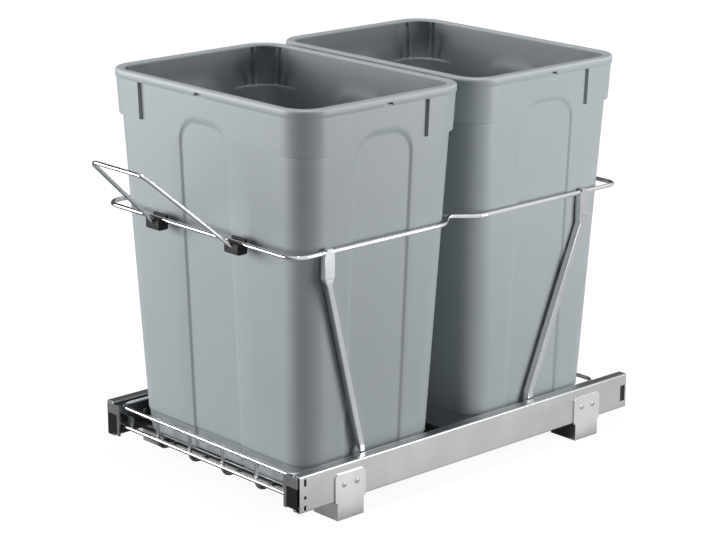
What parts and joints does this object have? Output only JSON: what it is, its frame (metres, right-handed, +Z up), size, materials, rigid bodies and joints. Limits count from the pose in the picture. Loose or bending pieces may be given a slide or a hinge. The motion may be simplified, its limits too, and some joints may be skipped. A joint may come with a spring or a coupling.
{
  "type": "pull out waste bin unit",
  "caption": "Pull-out waste unit for a base cabinet: tapered bins in a chrome wire tray with hoop, struts and pull bail, riding on ball-bearing slides with floor brackets.",
  "frame": {"origin": "On the cabinet floor, midway between the slides and midway along them: the centre of the four floor screws", "axes": "+X to the right seen from the front, -Y to the front (the tray pulls out along -Y), +Z up"},
  "size_m": [0.3714, 0.6734, 0.489],
  "materials": {
    "slide_steel": "bright zinc-plated cold-rolled steel",
    "ball_steel": "polished ball",
    "bracket_steel": "zinc-plated folded sheet",
    "rail_steel": "zinc-plated sheet and fasteners",
    "chrome_wire": "bright chrome-plated steel wire",
    "strut_chrome": "chrome-plated pressed channel",
    "black_plastic": "moulded black nylon",
    "bin_plastic": "moulded light grey polyethylene, satin"
  },
  "bodies": {
    "fixed_slides": {"slide_outer_left": "slide_steel", "slide_outer_right": "slide_steel", "slide_bumper_left": "black_plastic", "slide_bumper_right": "black_plastic", "floor_bracket_front_left": "bracket_steel", "floor_bracket_front_right": "bracket_steel", "floor_bracket_rear_left": "bracket_steel", "floor_bracket_rear_right": "bracket_steel", "bracket_rivets": "bracket_steel"},
    "middle_members": {"slide_middle_left": "slide_steel", "slide_middle_right": "slide_steel"},
    "outer_cages": {"ball_cage_outer_left": "slide_steel", "ball_cage_outer_right": "slide_steel", "balls_outer_left": "ball_steel", "balls_outer_right": "ball_steel"},
    "inner_cages": {"ball_cage_inner_left": "slide_steel", "ball_cage_inner_right": "slide_steel", "balls_inner_left": "ball_steel", "balls_inner_right": "ball_steel"},
    "tray": {"slide_inner_left": "slide_steel", "slide_inner_right": "slide_steel", "side_rail_left": "rail_steel", "side_rail_right": "rail_steel", "rail_buffer_left": "black_plastic", "rail_buffer_right": "black_plastic", "rail_rivets_left": "rail_steel", "rail_rivets_right": "rail_steel", "tray_perimeter_wire": "chrome_wire", "tray_front_low_wire": "chrome_wire", "tray_floor_wires": "chrome_wire", "tray_cross_wires": "chrome_wire", "retaining_hoop": "chrome_wire", "divider_wire": "chrome_wire", "strut_front_left": "strut_chrome", "strut_front_right": "strut_chrome", "strut_rear_left": "strut_chrome", "strut_rear_right": "strut_chrome", "strut_bolts": "rail_steel"},
    "bail": {"pull_bail": "chrome_wire", "bail_clip_left": "black_plastic", "bail_clip_right": "black_plastic"},
    "front_bin": {"bin_front": "bin_plastic"},
    "rear_bin": {"bin_rear": "bin_plastic"}
  },
  "joints": [
    {"name": "pull_out", "type": "slide", "parent": "fixed_slides", "child": "tray", "axis": [0, -1, 0], "range_m": [0, 0.559]},
    {"name": "middle_travel", "type": "slide", "parent": "fixed_slides", "child": "middle_members", "axis": [0, -1, 0], "range_m": [0, 0.2795]},
    {"name": "outer_cage_travel", "type": "slide", "parent": "fixed_slides", "child": "outer_cages", "axis": [0, -1, 0], "range_m": [0, 0.13975]},
    {"name": "inner_cage_travel", "type": "slide", "parent": "fixed_slides", "child": "inner_cages", "axis": [0, -1, 0], "range_m": [0, 0.41925]},
    {"name": "bail_turn", "type": "hinge", "parent": "tray", "child": "bail", "pos_m": [0, -0.2795, 0.323], "axis": [1, 0, 0], "range_deg": [-51, 129]},
    {"name": "front_bin_lift", "type": "slide", "parent": "tray", "child": "front_bin", "axis": [0, 0, 1], "range_m": [0, 0.3]},
    {"name": "rear_bin_lift", "type": "slide", "parent": "tray", "child": "rear_bin", "axis": [0, 0, 1], "range_m": [0, 0.3]}
  ],
  "couplings": [
    {"joint": "middle_travel", "follows": "pull_out", "ratio": 0.5},
    {"joint": "outer_cage_travel", "follows": "pull_out", "ratio": 0.25},
    {"joint": "inner_cage_travel", "follows": "pull_out", "ratio": 0.75}
  ]
}
